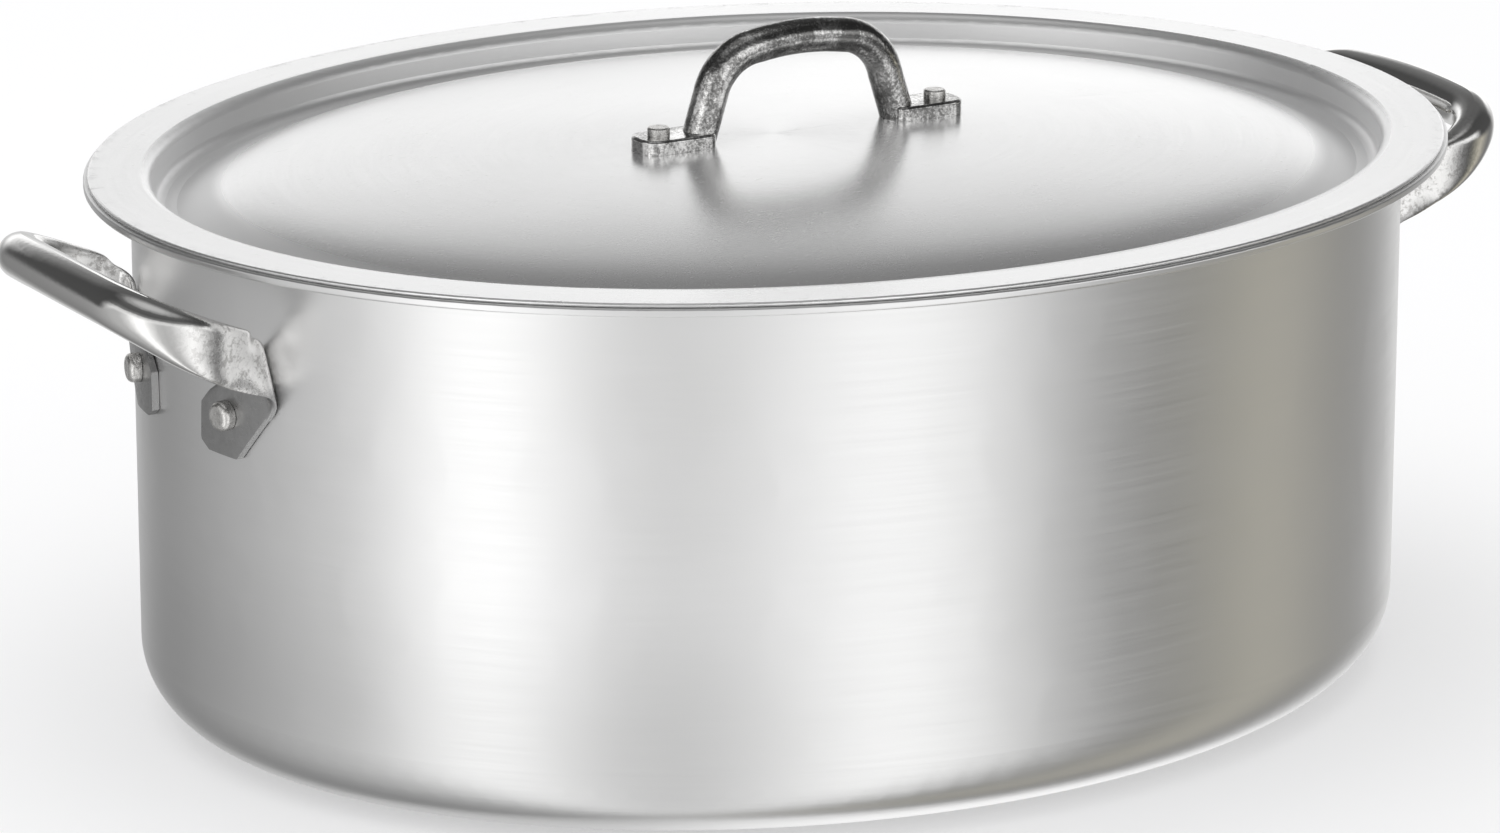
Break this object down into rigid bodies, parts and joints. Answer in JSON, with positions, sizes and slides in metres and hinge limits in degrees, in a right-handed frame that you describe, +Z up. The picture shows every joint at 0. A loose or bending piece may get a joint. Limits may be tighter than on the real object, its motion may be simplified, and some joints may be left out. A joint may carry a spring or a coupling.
{
  "type": "oval casserole pot with lid",
  "caption": "Oval aluminium casserole with a dished drop-in lid, two riveted tube side handles and a cast bow handle on the lid.",
  "frame": {"origin": "centre of the flat base, on the surface the pot rests on", "axes": "+X along the oval's long axis through both side handles, +Y along the short axis, +Z up"},
  "size_m": [0.4956, 0.3694, 0.2063],
  "materials": {
    "pot_aluminium": "satin, fine horizontal spinning marks",
    "lid_aluminium": "satin, fine grain",
    "handle_steel": "polished stainless tube with pressed, slightly mottled ends",
    "cast_aluminium": "tumbled casting, mottled, bright",
    "rivet_aluminium": "formed heads, dull bright"
  },
  "bodies": {
    "pot": {"pot_body": "pot_aluminium", "side_handle_left": "handle_steel", "side_handle_right": "handle_steel", "left_handle_front_rivet": "rivet_aluminium", "left_handle_rear_rivet": "rivet_aluminium", "right_handle_front_rivet": "rivet_aluminium", "right_handle_rear_rivet": "rivet_aluminium"},
    "lid": {"lid_pan": "lid_aluminium", "lid_handle": "cast_aluminium", "lid_left_rivet": "rivet_aluminium", "lid_right_rivet": "rivet_aluminium"}
  },
  "joints": [
    {"name": "lid_lift", "type": "slide", "parent": "pot", "child": "lid", "axis": [0, 0, 1], "range_m": [0, 0.25]}
  ]
}
